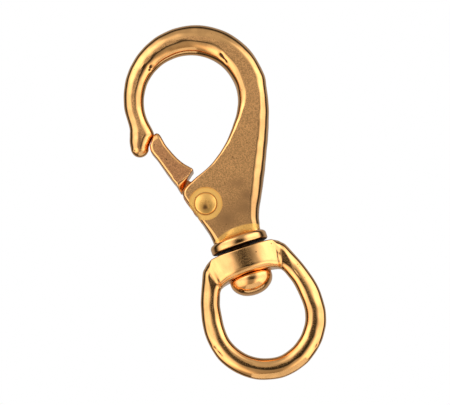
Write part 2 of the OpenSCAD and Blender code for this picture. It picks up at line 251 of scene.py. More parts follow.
def sections(rows, turn):
    """Grid of rounded rectangles, one across each row: quarter ellipses, each in as many steps as turn
    says, joined by flats with a few points of their own."""
    span = rows[:, 2:4] - rows[:, 0:2]
    width = np.linalg.norm(span, axis=1)
    half = rows[:, 4]
    ri = np.minimum(rows[:, 5], 0.49 * width)
    ro = np.minimum(rows[:, 6], 0.98 * width - ri)
    yi = np.minimum(1.3 * ri, 0.985 * half)
    yo = np.minimum(1.3 * ro, 0.985 * half)
    quarter = np.radians(np.linspace(0, 90, turn + 1))
    corners = (
        (width - ro, half - yo, ro, yo, 0),
        (ri, half - yi, ri, yi, 90),
        (ri, yi - half, ri, yi, 180),
        (width - ro, yo - half, ro, yo, 270),
    )
    across, deep = [], []
    for s, y, rs, ry, start in corners:
        angle = quarter + math.radians(start)
        across.append(s[:, None] + rs[:, None] * np.cos(angle))
        deep.append(y[:, None] + ry[:, None] * np.sin(angle))
    along = np.concatenate(with_flats(across), axis=1) / width[:, None]
    y = -np.concatenate(with_flats(deep), axis=1)
    x = rows[:, 0:1] + span[:, 0:1] * along
    z = rows[:, 1:2] + span[:, 1:2] * along
    return np.stack([x, y, z], axis=-1)


# ---------------------------------------------------------------- mesh making

FRONT, BACK = -1, 1
HAND_WAVES = (
    ((0.9, 0.3, 0.5), 0.4),
    ((-0.5, 0.8, 0.7), 1.9),
    ((0.3, 1.1, -0.8), 4.0),
    ((1.3, 0, 1.2), 2.2),
)


def grid_normals(grid, closed):
    """Unit normals of a grid whose rings are closed: the cross product of the two central differences."""
    along = np.roll(grid, -1, 0) - np.roll(grid, 1, 0) if closed else np.gradient(grid, axis=0)
    around = np.roll(grid, -1, 1) - np.roll(grid, 1, 1)
    normal = np.cross(around, along)
    return normal / np.maximum(np.linalg.norm(normal, axis=-1, keepdims=True), 1e-9)


def hand_finished(grid, closed, depth):
    """The grid moved along its normals by slow waves, each the sine of a direction's distance; faces
    square to Y stay flat."""
    normal = grid_normals(grid, closed)
    waves = np.zeros(grid.shape[:2])
    for turns, phase in HAND_WAVES:
        waves += np.sin(grid @ np.array(turns) + phase) / len(HAND_WAVES)
    rounded = ease((1 - np.abs(normal[..., 1])) / 0.02)
    return grid + normal * (depth * rounded * waves)[..., None]


def gouge(start, stop, wide, narrow, depth, side):
    """Marks in a row from one (x, z) to another, tapering from one radius to the other."""
    share = np.linspace(0, 1, 9)
    path = np.outer(1 - share, start) + np.outer(share, stop)
    return [(x, z, wide + (narrow - wide) * u, depth, side) for (x, z), u in zip(path, share)]


def marked(piece, marks, stains=()):
    """The piece with a round dent at each mark (x, z, radius, depth, side), on its front or its back. A
    point moves in by the deepest of the dents there, each its depth times e to the power of minus the
    square of the distance over the radius. The attribute scar keeps the dents' shape, and the attribute
    stain does the same for stains (x, z, radius, strength, side)."""
    mesh = piece.data
    count = len(mesh.vertices)
    points, normals = np.empty(count * 3), np.empty(count * 3)
    mesh.vertices.foreach_get("co", points)
    mesh.vertices.foreach_get("normal", normals)
    points, normals = points.reshape(-1, 3) / MM, normals.reshape(-1, 3)

    def spots(places):
        """The strongest of the places' spots at each point, on the faces turned to their side."""
        total = np.zeros(count)
        for x, z, radius, strength, side in places:
            away = np.hypot(points[:, 0] - x, points[:, 2] - z - COLLAR_Z)
            facing = normals[:, 1] * side > 0.1
            total = np.maximum(total, strength * np.exp(-((away / radius) ** 2)) * facing)
        return total

    dents = spots(marks)
    stain = spots(stains)
    points -= normals * dents[:, None]
    mesh.vertices.foreach_set("co", (points * MM).ravel())
    mesh.attributes.new("scar", "FLOAT", "POINT").data.foreach_set("value", np.minimum(1, dents / 0.3))
    mesh.attributes.new("stain", "FLOAT", "POINT").data.foreach_set("value", stain)
    mesh.update()
    return piece


def make_piece(name, points, faces, sharp=34):
    """A mesh object at the origin from points in millimetres, smooth except at edges sharper than sharp
    degrees, with its doubles merged and its faces turned outwards."""
    points = np.asarray(points, float).reshape(-1, 3) + [0, 0, COLLAR_Z]
    mesh = bpy.data.meshes.new(name)
    mesh.from_pydata((points * MM).tolist(), [], faces)
    piece = bpy.data.objects.new(name, mesh)
    bpy.context.scene.collection.objects.link(piece)
    tidy_mesh(mesh, sharp)
    return piece


def tidy_mesh(mesh, sharp):
    """Merges doubles, turns the faces outwards and marks the sharp edges."""
    work = bmesh.new()
    work.from_mesh(mesh)
    bmesh.ops.remove_doubles(work, verts=work.verts, dist=0.000001)
    bmesh.ops.dissolve_degenerate(work, dist=0.000001, edges=work.edges)
    bmesh.ops.recalc_face_normals(work, faces=work.faces)
    work.to_mesh(mesh)
    work.free()
    mesh.shade_smooth()
    mesh.set_sharp_from_angle(angle=math.radians(sharp))


def grid_faces(rings, count, closed):
    """Quads between neighbouring rings, and a flat face over each end ring unless the rings close."""
    index = np.arange(rings * count).reshape(rings, count)
    here = index if closed else index[:-1]
    there = np.roll(index, -1, 0) if closed else index[1:]
    quads = np.stack([here, there, np.roll(there, -1, 1), np.roll(here, -1, 1)], -1).reshape(-1, 4)
    ends = [] if closed else [index[0].tolist(), index[-1, ::-1].tolist()]
    return quads.tolist() + ends


def loft(name, grid, closed=False, sharp=34):
    """A piece skinned over the rings of a grid."""
    return make_piece(name, grid, grid_faces(grid.shape[0], grid.shape[1], closed), sharp)


def turned(name, profile, count=128, centre=(0, 0, 0), along_y=False, sharp=34):
    """A piece turned on a lathe: each (radius, height) of the profile goes once round the axis."""
    profile = np.asarray(profile, float)
    angle = np.linspace(0, 2 * math.pi, count, endpoint=False)
    r, h = profile[:, 0:1], np.repeat(profile[:, 1:2], count, 1)
    a, b = r * np.cos(angle), r * np.sin(angle)
    grid = np.stack([a, -h, b] if along_y else [a, b, h], axis=-1) + np.array(centre)
    return loft(name, grid, sharp=sharp)


def rod(name, radius, low, high, centre=(0, 0, 0), along_y=False, count=96):
    """A plain cylinder between two heights on its axis."""
    return turned(name, [[radius, low], [radius, high]], count, centre, along_y)


def slab(name, outline, y_from, y_to):
    """A flat outline in X and Z given thickness along Y."""
    outline = np.asarray(outline, float)
    rings = [np.insert(outline, 1, y, axis=1) for y in (y_from, y_to)]
    return loft(name, np.array(rings))


def arc(radius, start, stop, steps, centre=(0, 0)):
    """Points on an arc, in degrees, as (first, second) pairs."""
    angle = np.radians(np.linspace(start, stop, steps + 1))
    return np.stack([centre[0] + radius * np.cos(angle), centre[1] + radius * np.sin(angle)], -1)


def combined(piece, others, operation, sharp=34, bevel=0.0):
    """The piece with the others added to it or cut from it, as one finished mesh."""
    for other in others:
        step = piece.modifiers.new(other.name, "BOOLEAN")
        step.object = other
        step.operation = operation
        step.solver = "EXACT"
    if bevel:
        edge = piece.modifiers.new("edge", "BEVEL")
        edge.width = bevel * MM
        edge.segments = 2
        edge.limit_method = "ANGLE"
        edge.angle_limit = math.radians(sharp)
        edge.use_clamp_overlap = True
    bpy.context.view_layer.update()
    graph = bpy.context.evaluated_depsgraph_get()
    mesh = bpy.data.meshes.new_from_object(piece.evaluated_get(graph))
    piece.modifiers.clear()
    piece.data = mesh
    for other in others:
        bpy.data.objects.remove(other)
    tidy_mesh(mesh, sharp)
    return piece


# ---------------------------------------------------------------- the pieces


def hook():
    """The hook: a loft from the nose round the bowl and the plate to the neck, with the turned collar
    added, and with the slot, the bores and the two spot faces cut."""
    tip = [tip_row(angle) for angle in (88, 74, 58, 40, 20)]
    bowl = [bowl_row(184 - 18 * step) for step in range(10)]
    rows = tip + NOSE_ROWS + bowl + PLATE_ROWS
    grid = sections(smooth_rows(rows, BODY_STEPS), BODY_CORNER)
    body = loft("hook", hand_finished(grid, False, HAND_DEPTH))
    foot, throat = COLLAR_RADIUS - 1.1, PLATE_HALF - 0.2
    top = COLLAR_HEIGHT + FLARE_HEIGHT
    profile = np.concatenate([
        [[0, 0]],
        arc(COLLAR_LOW_EDGE, -90, -15, 8, (COLLAR_RADIUS - COLLAR_LOW_EDGE, COLLAR_LOW_EDGE)),
        arc(COLLAR_TOP_EDGE, 8, 78, 12, (foot - 0.05, 1.4)),
        arc(1, 270, 180, 16) * [foot - throat, FLARE_HEIGHT] + [foot, top],
        [[0, top]],
    ])
    collar = turned("collar", profile)
    combined(body, [collar], "UNION")
    face = PLATE_HALF - SPOT_DEPTH
    pivot = (PIVOT_X, 0, PIVOT_Z)
    slot = [
        [PIVOT_X + SLOT_RADIUS, PIVOT_Z],
        [PIVOT_X + 4.2, PIVOT_Z + 5],
        [PIVOT_X + 3.2, PIVOT_Z + 11],
        [PIVOT_X - 13, PIVOT_Z + 13],
        [PIVOT_X - 13, PIVOT_Z],
    ]
    cuts = [
        rod("slot_floor", SLOT_RADIUS, -SLOT_HALF, SLOT_HALF, pivot, True),
        slab("slot_mouth", slot, -SLOT_HALF, SLOT_HALF),
        rod("rivet_bore", RIVET_RADIUS, -THROUGH, THROUGH, pivot, True),
        rod("spot_front", SPOT_RADIUS, face, face + 3, pivot, True),
        rod("spot_back", SPOT_RADIUS, -face - 3, -face, pivot, True),
        rod("stem_bore", STEM_RADIUS, -1, STEM_TOP),
    ]
    combined(body, cuts, "DIFFERENCE", bevel=EDGE_BREAK)
    marks = gouge((11.4, 49.9), (12.5, 46.9), 0.42, 0.16, 0.26, FRONT) + [
        (11.3, 49.4, 0.3, 0.22, FRONT), (-7.2, 52.8, 0.35, 0.35, FRONT),
        (-7.7, 52.2, 0.3, 0.3, FRONT), (-6.9, 53.2, 0.2, 0.25, FRONT),
        (-18.4, 33.1, 0.22, 0.12, FRONT), (15.9, 57.0, 0.8, 0.05, BACK),
        (-15.6, 45.5, 0.4, 0.07, BACK), (8.2, 30.2, 0.3, 0.07, BACK),
    ]
    stains = gouge((-15.8, 37.0), (-16.4, 33.9), 0.4, 0.55, 0.95, FRONT) + [
        (1.5, 14.6, 0.8, 0.75, FRONT), (1.1, 16.0, 0.5, 0.5, FRONT),
        (5.4, 15.5, 1.3, 0.5, FRONT), (5.9, 12.0, 1.5, 0.6, FRONT),
        (4.0, 9.2, 2.0, 0.5, FRONT), (-1.5, 7.6, 2.2, 0.55, FRONT),
        (2.0, 12.0, 2.6, 0.3, BACK), (-2.5, 8.0, 2.0, 0.35, BACK), (9.0, 24.0, 2.0, 0.25, BACK),
    ]
    return marked(body, marks, stains)


def gate():
    """The gate: a lofted lever with a round tongue below it, bored for the rivet and pocketed for the
    spring."""
    grid = sections(smooth_rows(GATE_ROWS, GATE_STEPS), GATE_CORNER)
    lever = loft("gate_lever", hand_finished(grid, False, GATE_HAND_DEPTH))
    pivot = (PIVOT_X, 0, PIVOT_Z)
    tongue = [
        [PIVOT_X - 3.7, PIVOT_Z + 0.9], [PIVOT_X + 3.4, PIVOT_Z + 1.7], [PIVOT_X + 0.6, PIVOT_Z + 4.9],
        [-7.7, 21.2], [-8.4, 22.4], [-10.6, 21.4], [-10.2, 18.8],
    ]
    combined(lever, [
        rod("tongue_eye", TONGUE_RADIUS, -TONGUE_HALF, TONGUE_HALF, pivot, True),
        slab("tongue_neck", tongue, -TONGUE_HALF, TONGUE_HALF),
    ], "UNION")
    pocket = COIL_RADIUS + 0.9 * SPRING_WIRE
    side = [
        [PIVOT_X, PIVOT_Z - pocket], [PIVOT_X + SLOT_RADIUS, PIVOT_Z - pocket],
        [PIVOT_X + SLOT_RADIUS, PIVOT_Z + 1], [PIVOT_X, PIVOT_Z + 1],
    ]
    left = PIVOT_X - COIL_RADIUS - SPRING_WIRE / 2
    groove = [
        [left, PIVOT_Z], [left + 1.5 * SPRING_WIRE, PIVOT_Z],
        [left + 1.5 * SPRING_WIRE, PIVOT_Z + LEG_HEIGHT + 0.5], [left, PIVOT_Z + LEG_HEIGHT + 0.5],
    ]
    combined(lever, [
        rod("pocket", pocket, -2 * TONGUE_HALF, 0, pivot, True),
        slab("pocket_side", side, 0, 2 * TONGUE_HALF),
        slab("leg_groove", groove, 0, 2 * TONGUE_HALF),
        rod("gate_bore", RIVET_RADIUS + RUNNING, -THROUGH, THROUGH, pivot, True),
    ], "DIFFERENCE", bevel=GATE_EDGE_BREAK)
    return marked(lever, [(-9.3, 22.6, 0.4, 0.1, FRONT), (-11.9, 30.6, 0.3, 0.12, BACK)])


def rivet():
    """The rivet: a shank with a domed head at each end, turned about Y through the pivot. The dome's
    radius is its reach squared plus its rise squared, over twice its rise."""
    face = PLATE_HALF - SPOT_DEPTH
    edge, corner, rise = 0.2, 0.6, 0.35
    reach = RIVET_HEAD - corner
    dome = (reach**2 + rise**2) / (2 * rise)
    tilt = math.degrees(math.asin(reach / dome))
    cap = arc(dome, 90, 90 - tilt, 30, (0, face + edge + corner + rise - dome))
    shoulder = arc(corner, 90 - tilt, 0, 12, (reach, face + edge))
    half = np.concatenate([cap, shoulder[1:], [[RIVET_HEAD, face], [RIVET_RADIUS, face]]])
    profile = np.concatenate([half, (half * [1, -1])[::-1]])
    piece = turned("rivet", profile, 128, (PIVOT_X, 0, PIVOT_Z), True)
    dents = [
        (PIVOT_X - 0.4, PIVOT_Z - 0.9, 1.2, 0.14, FRONT),
        (PIVOT_X + 0.4, PIVOT_Z - 0.2, 1.1, 0.12, BACK),
    ]
    stains = [
        (PIVOT_X - 0.8, PIVOT_Z - 1.3, 0.45, 0.8, FRONT),
        (PIVOT_X - 0.1, PIVOT_Z - 1.4, 0.45, 0.7, FRONT),
        (PIVOT_X - 0.2, PIVOT_Z - 0.2, 0.6, 0.4, FRONT),
        (PIVOT_X + 0.5, PIVOT_Z + 0.4, 1.2, 0.4, BACK),
    ]
    return marked(piece, dents, stains)


def swivel_pin():
    """The swivel pin: a stem with a mushroom head, turned about Z."""
    top = UNDERSIDE - RUNNING
    stem = [
        [0, STEM_TOP], [STEM_RADIUS - STEM_CHAMFER, STEM_TOP],
        [STEM_RADIUS, STEM_TOP - STEM_CHAMFER], [STEM_RADIUS, top],
    ]
    shoulder = arc(HEAD_SHOULDER, 90, 0, 8, (PIN_HEAD - HEAD_SHOULDER, top - HEAD_SHOULDER))
    flank = arc(1, 0, -45, 8) * [PIN_HEAD, HEAD_FLANK] + [0, top - 1.2]
    crown = arc(1, -50, -90, 14) * [0.94 * PIN_HEAD, HEAD_CROWN] + [0, top - 1.9]
    profile = np.concatenate([stem, shoulder, flank, crown])
    piece = turned("swivel_pin_stud", profile, 128)
    return marked(piece, [(-3.6, -11.3, 0.35, 0.15, FRONT), (1.2, -11.0, 0.5, 0.1, BACK)])


def eye():
    """The eye: a closed loft round the ring and through the bowed hub, bored for the stem and spot faced
    for the pin's head."""
    left = [[-row[0], row[1], -row[2], row[3], *row[4:]] for row in EYE_ROWS[-2:0:-1]]
    grid = sections(smooth_rows(EYE_ROWS + left, EYE_STEPS, closed=True), BODY_CORNER)
    ring = loft("eye_ring", hand_finished(grid, True, HAND_DEPTH), closed=True)
    combined(ring, [
        rod("eye_bore", STEM_RADIUS + RUNNING, -20, THROUGH),
        rod("eye_spot", PIN_HEAD + HEAD_CLEARANCE, UNDERSIDE - 6, UNDERSIDE),
    ], "DIFFERENCE", bevel=EDGE_BREAK)
    scrapes = gouge((-15.1, -22.9), (-13.8, -25.8), 0.26, 0.34, 0.16, FRONT)
    scrapes += gouge((10.3, -31.6), (11.0, -30.9), 0.28, 0.2, 0.14, FRONT)
    scrapes += gouge((11.6, -10.6), (12.2, -12.6), 0.18, 0.14, 0.08, FRONT)
    return marked(ring, scrapes + [
        (8.7, -4.9, 0.35, 0.2, FRONT), (8.9, -5.8, 0.3, 0.18, FRONT),
        (9.2, -5.2, 0.3, 0.15, FRONT), (8.4, -6.3, 0.25, 0.15, FRONT), (-8.7, -6.6, 0.4, 0.08, FRONT),
        (11.8, -28.4, 0.7, 0.08, BACK), (-9.6, -3.4, 0.5, 0.1, BACK), (-13.4, -14.0, 0.4, 0.07, BACK),
    ])


def spring():
    """The spring: a round wire carried along a leg, a helix and a second leg."""
    steps, start = 72, COIL_GAP + SPRING_WIRE / 2
    reach = math.sqrt(SLOT_RADIUS**2 - COIL_RADIUS**2) - SPRING_WIRE / 2
    turn = np.arange(int(COIL_TURNS * steps) + 1) / steps
    angle = math.radians(-90) - 2 * math.pi * turn
    helix = [COIL_RADIUS * np.cos(angle), start + COIL_PITCH * turn, COIL_RADIUS * np.sin(angle)]
    path = np.concatenate([
        [[reach, start, -COIL_RADIUS]],
        np.stack(helix, -1),
        [[-COIL_RADIUS, start + COIL_PITCH * COIL_TURNS, LEG_HEIGHT]],
    ])
    along = np.gradient(path, axis=0)
    out = np.stack([along[:, 2], 0 * along[:, 0], -along[:, 0]], -1)
    out /= np.linalg.norm(out, axis=1, keepdims=True)
    up = np.cross(along, out)
    up /= np.linalg.norm(up, axis=1, keepdims=True)
    ring = np.linspace(0, 2 * math.pi, 16, endpoint=False)
    grid = path[:, None] + SPRING_WIRE / 2 * (
        np.cos(ring)[None, :, None] * out[:, None] + np.sin(ring)[None, :, None] * up[:, None]
    )
    return loft("spring_wire", grid + np.array([PIVOT_X, 0, PIVOT_Z]))


# ---------------------------------------------------------------- shader helpers


def add(tree, kind, inputs=(), **settings):
    """A node of a tree. Its inputs, given by name or number, are sockets or constants."""
    node = tree.nodes.new(kind)
    for key, value in settings.items():
        setattr(node, key, value)
    for key, value in dict(inputs).items():
        if isinstance(value, bpy.types.NodeSocket):
            tree.links.new(value, node.inputs[key])
        else:
            node.inputs[key].default_value = value
    return node


def math_node(tree, operation, first, second=0.0, clamp=False):
    """The value of one mathematical step."""
    node = add(tree, "ShaderNodeMath", {0: first, 1: second}, operation=operation, use_clamp=clamp)
    return node.outputs[0]


def fade(tree, value, low, high):
    """0 where the value is at or past low, 1 at or past high, and smooth in between. The fade falls where
    low is the larger of the two."""
    inputs = {"Value": value, "From Min": low, "From Max": high}
    return add(tree, "ShaderNodeMapRange", inputs, interpolation_type="SMOOTHSTEP").outputs[0]


def window(tree, value, opening, closing):
    """The product of two fades of one value: 1 between them, and 0 beyond either."""
    return math_node(tree, "MULTIPLY", fade(tree, value, *opening), fade(tree, value, *closing))


def blended(tree, amount, first, second):
    """A colour between two others."""
    node = add(tree, "ShaderNodeMix", {0: amount, 6: first, 7: second}, data_type="RGBA")
    return node.outputs[2]


def between(tree, amount, first, second):
    """A number between two others."""
    return add(tree, "ShaderNodeMix", {0: amount, 2: first, 3: second}, data_type="FLOAT").outputs[0]


def new_group(name, sockets_in, sockets_out):
    """An empty node group with named float, colour or vector sockets, and its input and output nodes."""
    group = bpy.data.node_groups.new(name, "ShaderNodeTree")
    for socket, kind, value in sockets_in:
        made = group.interface.new_socket(name=socket, in_out="INPUT", socket_type=kind)
        if value is not None:
            made.default_value = value
    for socket, kind in sockets_out:
        group.interface.new_socket(name=socket, in_out="OUTPUT", socket_type=kind)
    return group, group.nodes.new("NodeGroupInput"), group.nodes.new("NodeGroupOutput")


def cast_skin_group():
    """Node group: the fine grain, slow blotches and scattered pits of a hand-finished casting."""
    group, given, result = new_group(
        "cast_skin",
        [("Grain Size", "NodeSocketFloat", 3000.0), ("Blotch Size", "NodeSocketFloat", 260.0)],
        [("Grain", "NodeSocketFloat"), ("Blotch", "NodeSocketFloat"), ("Pits", "NodeSocketFloat")],
    )
    place = add(group, "ShaderNodeTexCoord").outputs["Object"]
    grain = add(group, "ShaderNodeTexNoise", {
        "Vector": place, "Scale": given.outputs["Grain Size"], "Detail": 3.0, "Roughness": 0.6,
    })
    blotch = add(group, "ShaderNodeTexNoise", {
        "Vector": place, "Scale": given.outputs["Blotch Size"], "Detail": 4.0, "Roughness": 0.55,
        "Distortion": 0.4,
    })
    cells = add(group, "ShaderNodeTexVoronoi", {"Vector": place, "Scale": 900.0, "Randomness": 1.0})
    rare = add(group, "ShaderNodeTexNoise", {"Vector": place, "Scale": 420.0, "Detail": 1.0})
    near = fade(group, cells.outputs["Distance"], 0.22, 0.08)
    pits = math_node(group, "MULTIPLY", near, fade(group, rare.outputs["Fac"], 0.60, 0.70))
    group.links.new(grain.outputs["Fac"], result.inputs["Grain"])
    group.links.new(blotch.outputs["Fac"], result.inputs["Blotch"])
    group.links.new(pits, result.inputs["Pits"])
    return group


def ground_flat_group():
    """Node group: a mask of the faces ground flat, square to Y, softened towards their rounded edges."""
    group, given, result = new_group(
        "ground_flat",
        [("Start", "NodeSocketFloat", 0.985), ("Full", "NodeSocketFloat", 0.999)],
        [("Flat", "NodeSocketFloat")],
    )
    normal = add(group, "ShaderNodeTexCoord").outputs["Normal"]
    split = add(group, "ShaderNodeSeparateXYZ", {"Vector": normal})
    facing = math_node(group, "ABSOLUTE", split.outputs["Y"])
    soft = add(group, "ShaderNodeMapRange", {
        "Value": facing, "From Min": given.outputs["Start"], "From Max": given.outputs["Full"],
    }, interpolation_type="SMOOTHSTEP")
    group.links.new(soft.outputs[0], result.inputs["Flat"])
    return group


def axis_rings_group():
    """Node group: distance from the rivet's axis, and the fine turning marks round it, which go up and
    down as the sine of that distance, one wave to each pitch."""
    group, given, result = new_group(
        "axis_rings", [("Pitch", "NodeSocketFloat", 0.00012)],
        [("Distance", "NodeSocketFloat"), ("Marks", "NodeSocketFloat")],
    )
    place = add(group, "ShaderNodeTexCoord").outputs["Object"]
    split = add(group, "ShaderNodeSeparateXYZ", {"Vector": place})
    x = math_node(group, "SUBTRACT", split.outputs["X"], PIVOT_X * MM)
    z = math_node(group, "SUBTRACT", split.outputs["Z"], (PIVOT_Z + COLLAR_Z) * MM)
    x_square, z_square = math_node(group, "MULTIPLY", x, x), math_node(group, "MULTIPLY", z, z)
    distance = math_node(group, "SQRT", math_node(group, "ADD", x_square, z_square))
    turns = math_node(group, "DIVIDE", distance, given.outputs["Pitch"])
    wave = math_node(group, "SINE", math_node(group, "MULTIPLY", turns, 2 * math.pi))
    marks = math_node(group, "MULTIPLY_ADD", wave, 0.5)
    marks.node.inputs[2].default_value = 0.5
    group.links.new(distance, result.inputs["Distance"])
    group.links.new(marks, result.inputs["Marks"])
    return group


def height_zones_group():
    """Node group: masks by place. Gap is the slit between the collar and the eye's hub, where shade is
    painted, and Collar the turned rim. Flare is the part below an arch, whose height falls with the
    square of the distance from its middle. Foot is the plate's lower part."""
    names = ("Gap", "Collar", "Flare", "Foot")
    group, given, result = new_group(
        "height_zones",
        [("Arch", "NodeSocketFloat", 4.9)],
        [(name, "NodeSocketFloat") for name in names],
    )
    place = add(group, "ShaderNodeTexCoord").outputs["Object"]
    split = add(group, "ShaderNodeSeparateXYZ", {"Vector": place})
    x = math_node(group, "DIVIDE", split.outputs["X"], MM)
    height = math_node(group, "SUBTRACT", math_node(group, "DIVIDE", split.outputs["Z"], MM), COLLAR_Z)
    aside = math_node(group, "SUBTRACT", x, ARCH_MIDDLE)
    sag = math_node(group, "MULTIPLY", math_node(group, "MULTIPLY", aside, aside), ARCH_SAG)
    above = math_node(group, "SUBTRACT", math_node(group, "ADD", height, sag), given.outputs["Arch"])
    masks = (
        # Gap: painted shade in the slit between the collar's lower face and the hub's top.
        window(group, height, (HUB_TOP - 0.12, HUB_TOP - 0.01), (0.16, 0.04)),
        fade(group, height, COLLAR_HEIGHT + 0.15, COLLAR_HEIGHT - 0.1),
        fade(group, above, 0.2, -0.25),
        fade(group, height, 20.0, 6.0),
    )
    for name, mask in zip(names, masks):
        group.links.new(mask, result.inputs[name])
    return group


def new_material(name):
    """An empty material with a Principled BSDF, and its tree."""
    material = bpy.data.materials.new(name)
    material.use_nodes = True
    tree = material.node_tree
    tree.nodes.clear()
    shader = tree.nodes.new("ShaderNodeBsdfPrincipled")
    output = tree.nodes.new("ShaderNodeOutputMaterial")
    tree.links.new(shader.outputs[0], output.inputs[0])
    return material, tree, shader


def shade(colour, factor):
    """A colour made lighter or darker, with an alpha of 1."""
    return (*[factor * part for part in colour], 1)


def put_group(tree, group, **inputs):
    """An instance of a node group in a tree."""
    node = tree.nodes.new("ShaderNodeGroup")
    node.node_tree = group
    for key, value in inputs.items():
        node.inputs[key.replace("_", " ")].default_value = value
    return node


def wire_metal(tree, shader, colour, roughness, height, strength, distance):
    """Joins a metal's colour, roughness and bump to its shader."""
    bump = add(tree, "ShaderNodeBump", {"Height": height, "Strength": strength, "Distance": distance})
    tree.links.new(colour, shader.inputs["Base Color"])
    tree.links.new(roughness, shader.inputs["Roughness"])
    tree.links.new(bump.outputs[0], shader.inputs["Normal"])
    shader.inputs["Metallic"].default_value = 1.0


def hook_zones(tree, satin, bright, shine, zones, mottle, colour, roughness):
    """The hook's colour and roughness with its own zones: a darker foot, a gold flare above the collar, a
    polished collar, and a gold turned spot face with a ring of painted shade where it meets the rivet."""
    rings = put_group(tree, AXIS_RINGS)
    distance = rings.outputs["Distance"]
    flare, collar = zones.outputs["Flare"], zones.outputs["Collar"]
    spot = fade(tree, distance, (SPOT_RADIUS + 0.1) * MM, (SPOT_RADIUS - 0.05) * MM)
    # Painted shade: a dark ring on the spot face where it meets the rivet's head.
    edge = fade(tree, distance, (RIVET_HEAD + 0.3) * MM, RIVET_HEAD * MM)
    gold = blended(tree, rings.outputs["Marks"], shade(SPOT_GOLD, 0.9), shade(SPOT_GOLD, 1))
    gold = blended(tree, edge, gold, shade(TARNISH_AND_RIVET_SHADE, 1.6))
    warm = blended(tree, mottle, shade(FLARE_GOLD, 0.8), shade(FLARE_GOLD, 1))
    lower = math_node(tree, "MULTIPLY", zones.outputs["Foot"], FOOT_SHARE)
    colour = blended(tree, lower, colour, shade(satin, 0.62))
    colour = blended(tree, flare, colour, warm)
    colour = blended(tree, collar, colour, bright)
    colour = blended(tree, spot, colour, gold)
    roughness = between(tree, flare, roughness, FLARE_ROUGHNESS)
    roughness = between(tree, collar, roughness, shine)
    roughness = between(tree, spot, roughness, SPOT_ROUGHNESS)
    return colour, roughness


def bronze(name, polished, satin, shine, dull, flat_from=0.985, hook=False):
    """Cast bronze: polished where it is round and satin where it is ground flat, with blotches of
    tarnish, grain, darker pits and dents, stains, and painted shade in the gap that the eye turns in. The
    hook also has its own zones."""
    material, tree, shader = new_material(name)
    skin = put_group(tree, CAST_SKIN)
    flat = put_group(tree, GROUND_FLAT, Start=flat_from).outputs["Flat"]
    zones = put_group(tree, HEIGHT_ZONES)
    blotch = fade(tree, skin.outputs["Blotch"], *NOISE_RANGE)
    mottle = fade(tree, skin.outputs["Grain"], *NOISE_RANGE)
    bright = blended(tree, blotch, shade(polished, 0.80), shade(polished, 1))
    brown = blended(tree, blotch, shade(satin, 0.86), shade(satin, 1.06))
    lit = blended(tree, 0.5, brown, shade(satin, 1.5))
    brown = blended(tree, mottle, shade(satin, 0.72), lit)
    colour = blended(tree, flat, bright, brown)
    roughness = between(tree, flat, shine, dull)
    if hook:
        colour, roughness = hook_zones(tree, satin, bright, shine, zones, mottle, colour, roughness)
    scar = add(tree, "ShaderNodeAttribute", attribute_name="scar").outputs["Fac"]
    stain = add(tree, "ShaderNodeAttribute", attribute_name="stain").outputs["Fac"]
    patchy = math_node(tree, "MULTIPLY", stain, fade(tree, skin.outputs["Grain"], 0.25, 0.6))
    colour = blended(tree, patchy, colour, shade(TARNISH_AND_RIVET_SHADE, 1))
    # Darker in pits and deep dents, and painted shade in the slit between the collar and the eye's hub.
    dark_and_gap_shade = math_node(tree, "MAXIMUM", skin.outputs["Pits"], fade(tree, scar, 0.15, 0.55))
    dark_and_gap_shade = math_node(tree, "MAXIMUM", dark_and_gap_shade, zones.outputs["Gap"])
    colour = blended(tree, dark_and_gap_shade, colour, shade(DARK_AND_GAP_SHADE, 1))
    rougher_in_dark_and_gap_shade = math_node(tree, "MULTIPLY", dark_and_gap_shade, DARK_AND_GAP_SHADE_ROUGHER)
    roughness = math_node(tree, "ADD", roughness, rougher_in_dark_and_gap_shade)
    centred = math_node(tree, "SUBTRACT", skin.outputs["Grain"], 0.5)
    uneven = math_node(tree, "MULTIPLY", centred, between(tree, flat, *ROUGHNESS_GRAIN))
    roughness = math_node(tree, "ADD", roughness, uneven, clamp=True)
    height = math_node(tree, "SUBTRACT", skin.outputs["Grain"], skin.outputs["Pits"])
    strength = between(tree, flat, *BUMP_STRENGTH)
    wire_metal(tree, shader, colour, roughness, height, strength, BUMP_DEPTH)
    return material


def spring_steel():
    """Drawn stainless wire: cool grey with a very fine grain."""
    material, tree, shader = new_material("spring_steel")
    skin = put_group(tree, CAST_SKIN, Grain_Size=9000.0)
    colour = blended(tree, skin.outputs["Blotch"], (0.46, 0.46, 0.45, 1), (0.6, 0.6, 0.59, 1))
    roughness = between(tree, skin.outputs["Grain"], 0.24, 0.38)
    wire_metal(tree, shader, colour, roughness, skin.outputs["Grain"], 0.1, 0.00002)
    return material


CAST_SKIN = cast_skin_group()
GROUND_FLAT = ground_flat_group()
AXIS_RINGS = axis_rings_group()
HEIGHT_ZONES = height_zones_group()

POLISHED = (0.98, 0.53, 0.2)
SATIN = (0.66, 0.355, 0.14)
SPOT_GOLD = (1.0, 0.63, 0.19)
FLARE_GOLD = (1.0, 0.58, 0.16)
# Tarnish colour for the stains, and also the painted shade round the rivet's head.
TARNISH_AND_RIVET_SHADE = (0.2, 0.1, 0.05)
# Dark colour for pits and dents, and painted shade in the gap under the collar.
DARK_AND_GAP_SHADE = (0.07, 0.032, 0.014)

# Where a noise's middle part starts and ends, and values for polished and for satin surfaces.
NOISE_RANGE = (0.34, 0.66)
ROUGHNESS_GRAIN = (0.02, 0.12)
BUMP_STRENGTH = (0.015, 0.4)
BUMP_DEPTH = 0.00006
DARK_AND_GAP_SHADE_ROUGHER = 0.4
FOOT_SHARE = 0.42
FLARE_ROUGHNESS = 0.5
SPOT_ROUGHNESS = 0.58

